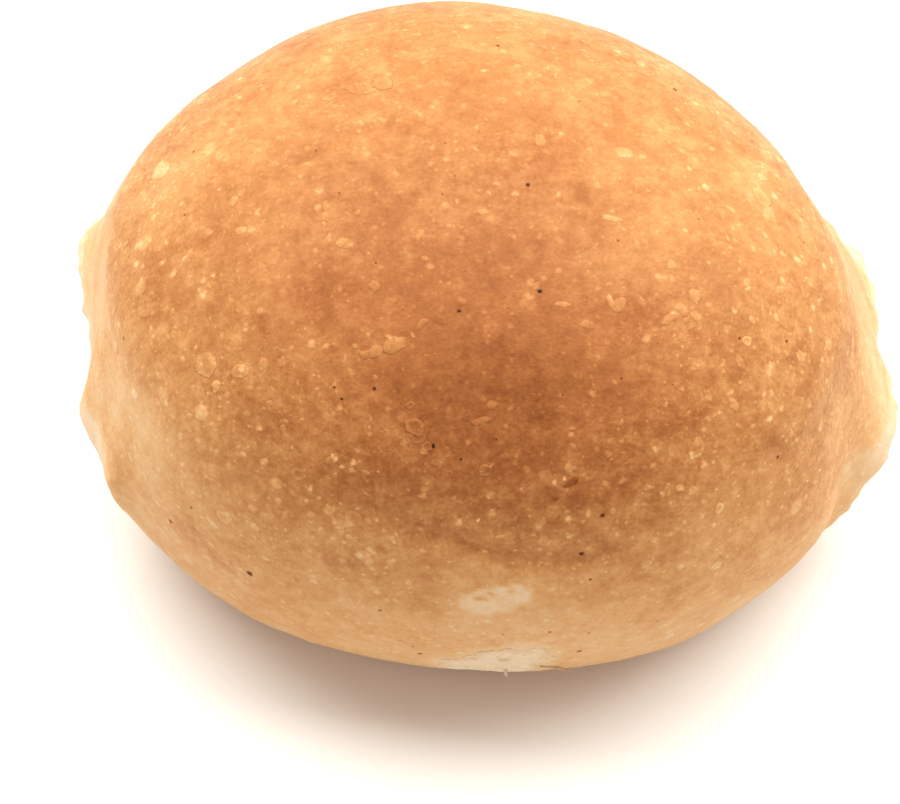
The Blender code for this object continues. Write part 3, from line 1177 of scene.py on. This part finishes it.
# %% Close a cushion
def close_cushion(top, bottom, columns, rows):
    """Points and faces of a grid, the same grid beneath it, and a wall round both."""
    count = len(top)
    faces = []
    for row in range(rows - 1):
        for column in range(columns - 1):
            corner = row * columns + column
            square = (corner, corner + 1, corner + columns + 1, corner + columns)
            faces.append(square)
            faces.append(tuple(count + index for index in reversed(square)))
    rim = list(range(columns))
    rim += [row * columns + columns - 1 for row in range(1, rows)]
    rim += [(rows - 1) * columns + column for column in range(columns - 2, -1, -1)]
    rim += [row * columns for row in range(rows - 2, 0, -1)]
    for here, there in zip(rim, rim[1:] + rim[:1]):
        faces.append((here, count + here, count + there, there))
    return np.vstack((top, bottom)), faces


print("a cushion can be closed")

# %% Lay the cushions of crumb
OVERLAP = 1.22  # size of the grid as a share of the oval, so that its edge lies under the crust
CRUMB_RISES = (-0.06, 0.08)  # how deep inside an oval the crumb starts to rise, and has risen
EDGE_DEPTH = 0.6  # millimetres that the edge of a cushion lies below the sunk skin
BOTTOM_DEPTH = 2.2  # and its bottom
CLINGING = 0.50  # how deep inside an oval the last of the crust clings to the crumb
# Painted shade: the crumb is painted darker in its holes, the deeper they are.
PIT_SHADE = 0.9  # how much deeper in colour the crumb is for each millimetre of a hole
CRUMB_PITCH = {"left": 0.25, "right": 0.25, "front": 0.16}  # of the grid, in millimetres


def laid_grid(face, columns, rows):
    """Points of a grid laid on the plain skin over a torn face, and the outward direction at each."""
    places, outwards = [], []
    for row in range(rows):
        for column in range(columns):
            share = 2.0 * column / (columns - 1) - 1.0
            across = face.along + OVERLAP * face.half_length * share
            up = 2.0 * row / (rows - 1) - 1.0 + face.lean * share
            start = face.sideways * across + face.outward * 90.0
            start[2] = max(face.level + OVERLAP * face.half_height * up, 0.6)
            hit, normal, _, _ = plain_surface.ray_cast(Vector(start), Vector(-face.outward))
            places.append(hit)
            outwards.append(normal)
    return np.array(places), np.array(outwards)


def crumb_cushion(face, pitch):
    """Points, faces, hole depths and closeness to the edge, for the closed cushion on a torn face."""
    columns = int(2 * OVERLAP * face.half_length / pitch) + 1
    rows = int(2 * OVERLAP * face.half_height / pitch) + 1
    places, outwards = laid_grid(face, columns, rows)
    inside = face.inside(places)
    relief, holes = crumb_relief(places * face.fineness, face.seed)
    raised = soft_step(*CRUMB_RISES, inside)
    risen = face.proud + face.rough * relief / face.fineness
    offset = raised * risen - (1.0 - raised) * (face.depth + EDGE_DEPTH)
    formed = hand_formed(places, outwards)
    top = formed + outwards * offset[:, None]
    bottom = formed - outwards * (face.depth + BOTTOM_DEPTH)
    top[:, 2] = np.maximum(top[:, 2], 0.3)
    bottom[:, 2] = np.maximum(bottom[:, 2], 0.2)
    points, faces = close_cushion(top, bottom, columns, rows)
    near_edge = 1.0 - soft_step(0.0, CLINGING, inside)
    return points, faces, np.tile(holes / face.fineness, 2), np.tile(near_edge, 2)


for face in torn_faces:
    points, faces, holes, edge = crumb_cushion(face, CRUMB_PITCH[face.name])
    pit_shade_values = np.clip(holes * PIT_SHADE * face.fineness, 0.0, 1.0)
    make_piece("torn_crumb_" + face.name, points, faces, crumb, {"painted_shade": pit_shade_values, "edge": edge})

# %% [markdown]
# ## Loose shreds
# Where crumb and crust gave way, a few thin shreds still hang on: a short tongue at the edge of each torn
# side, one whisker under the front patch, and a strip of thin film beside it. Hair curves could make them,
# but their ends are round, and a torn end is flat and ragged. So each is a small flat tongue of mesh that
# starts under the surface, bends a little and tapers to a ragged tip.

# %% Shape a shred
TONGUE_RINGS = 7
TONGUE_SPOKES = 8
ROOTED = 0.2  # share of its length that a shred starts under the surface
TAPER = 1.6  # the higher, the longer a shred keeps its width before it tapers
TIP = 0.06  # share of the width that is left at the tip


def tongue(root, direction, bend, length, width, thickness, seed):
    """Points and faces of one shred that leaves its root in a direction and bends on its way."""
    direction = direction / np.linalg.norm(direction)
    flat = np.cross(direction, bend)
    flat /= max(np.linalg.norm(flat), 1e-6)
    upward = np.cross(flat, direction)
    points, faces = [], []
    for ring in range(TONGUE_RINGS):
        share = ring / (TONGUE_RINGS - 1)
        middle = root + direction * length * (share - ROOTED) + bend * (share * share * length * 0.3)
        middle = middle + flat * width * 0.3 * noise.noise(Vector((share * 2.0, seed, 1.0)))
        ragged = 1.0 + 0.5 * noise.noise(Vector((share * 4.0, seed, 2.0)))
        narrow = (1.0 - share**TAPER) * ragged + TIP
        for spoke in range(TONGUE_SPOKES):
            angle = 2.0 * math.pi * spoke / TONGUE_SPOKES
            across = 0.5 * width * narrow * math.cos(angle)
            deep = 0.5 * thickness * (0.4 + 0.6 * narrow) * math.sin(angle)
            points.append(middle + flat * across + upward * deep)
    for ring in range(TONGUE_RINGS - 1):
        for spoke in range(TONGUE_SPOKES):
            after = (spoke + 1) % TONGUE_SPOKES
            here = ring * TONGUE_SPOKES
            above = here + TONGUE_SPOKES
            faces.append((here + spoke, here + after, above + after, above + spoke))
    faces.append(tuple(range(TONGUE_SPOKES - 1, -1, -1)))
    last = (TONGUE_RINGS - 1) * TONGUE_SPOKES
    faces.append(tuple(last + spoke for spoke in range(TONGUE_SPOKES)))
    return points, faces


def shred_piece(name, shreds, values):
    """One piece of crumb from all the given shreds."""
    points, faces = [], []
    for shred in shreds:
        root, direction, bend = [np.array(value) for value in shred[:3]]
        more, joined = tongue(root, direction, bend, *shred[3:])
        faces += [tuple(len(points) + index for index in face) for face in joined]
        points += more
    filled = {key: np.full(len(points), value) for key, value in values.items()}
    return make_piece(name, points, faces, crumb, filled)


print("a shred has", TONGUE_RINGS * TONGUE_SPOKES, "points")

# %% Hang on the shreds
# (place, direction, bend, length, width, thickness, seed)
SHREDS = (
    ((47.6, -11.5, 19.5), (1.0, -0.6, 0.1), (0.0, -0.5, 0.2), 0.7, 1.6, 0.25, 3.8),
    ((-45.3, -11.0, 19.5), (-1.0, 0.5, 0.3), (0.0, 0.6, 0.4), 0.7, 1.5, 0.25, 5.2),
    ((4.0, -38.8, 12.9), (0.1, -1.0, -0.7), (0.1, 0.2, -0.4), 1.3, 0.6, 0.20, 3.3),
)
FILM = ((8.6, -38.8, 13.9), (1.0, 0.10, -0.58), (0.0, -0.10, 0.22), 4.6, 0.5, 0.08, 5.1)

shred_piece("shreds", SHREDS, {"painted_shade": 0.0, "edge": 0.0})
# The film is painted in the darkest crumb tone: painted shade, since it hangs in shade under the roll.
shred_piece("loose_film", (FILM,), {"painted_shade": 1.0, "edge": 0.0})

# %% [markdown]
# ## The table and the light
# The roll lies on a plain pale table. Several small lamps would each draw a hard shadow of their own. One
# wide soft lamp hangs over the roll instead, a little behind it, and pale surroundings fill the shadows,
# so that the crown is bright and the front falls into shade. The lamp is a touch cool and the surroundings
# are a touch warm, and that keeps the shade from turning grey.

# %% Lay the table
TABLE_HALF = 2.0  # metres from its middle to its edge
TABLE_LEVEL = -0.0001  # just under the roll, so that the two surfaces never share a place
TABLE_CORNERS = ((-1, -1), (1, -1), (1, 1), (-1, 1))
TABLE_COLOUR = (0.84, 0.765, 0.695, 1.0)

table_mesh = bpy.data.meshes.new("table")
table_points = [(x * TABLE_HALF, y * TABLE_HALF, TABLE_LEVEL) for x, y in TABLE_CORNERS]
table_mesh.from_pydata(table_points, [], [(0, 1, 2, 3)])
table = bpy.data.objects.new("table", table_mesh)
scene.collection.objects.link(table)
paper, tree, shader = new_material("pale paper")
shader.inputs["Base Color"].default_value = TABLE_COLOUR
shader.inputs["Roughness"].default_value = 0.9
table_mesh.materials.append(paper)
print("the table is", 2 * TABLE_HALF, "m wide")

# %% Hang the lamp
LAMP_DIRECTION = Vector((0.05, 0.39, 0.92)).normalized()
LAMP_DISTANCE = 0.8
LAMP_DEPTH = 0.65
LAMP_WIDTH = 1.8
LAMP_POWER = 26.5
LAMP_COLOUR = (0.92, 1.02, 1.05)

lamp_data = bpy.data.lights.new("soft lamp", "AREA")
lamp_data.shape = "RECTANGLE"
lamp_data.size = LAMP_WIDTH
lamp_data.size_y = LAMP_DEPTH
lamp_data.energy = LAMP_POWER
lamp_data.color = LAMP_COLOUR
lamp = bpy.data.objects.new("soft lamp", lamp_data)
lamp.location = LAMP_DIRECTION * LAMP_DISTANCE
lamp.rotation_euler = (-LAMP_DIRECTION).to_track_quat("-Z", "Y").to_euler()
scene.collection.objects.link(lamp)
print("the lamp hangs at", [round(value, 2) for value in lamp.location])

# %% Put pale surroundings round it all
SURROUNDINGS = 0.58
SURROUNDINGS_COLOUR = (1.06, 0.985, 0.93, 1.0)

world = bpy.data.worlds.new("pale surroundings")
world.use_nodes = True
sky = world.node_tree.nodes["Background"]
sky.inputs["Color"].default_value = SURROUNDINGS_COLOUR
sky.inputs["Strength"].default_value = SURROUNDINGS
scene.world = world
scene.view_settings.view_transform = "Standard"
print("the surroundings shine with a strength of", SURROUNDINGS)
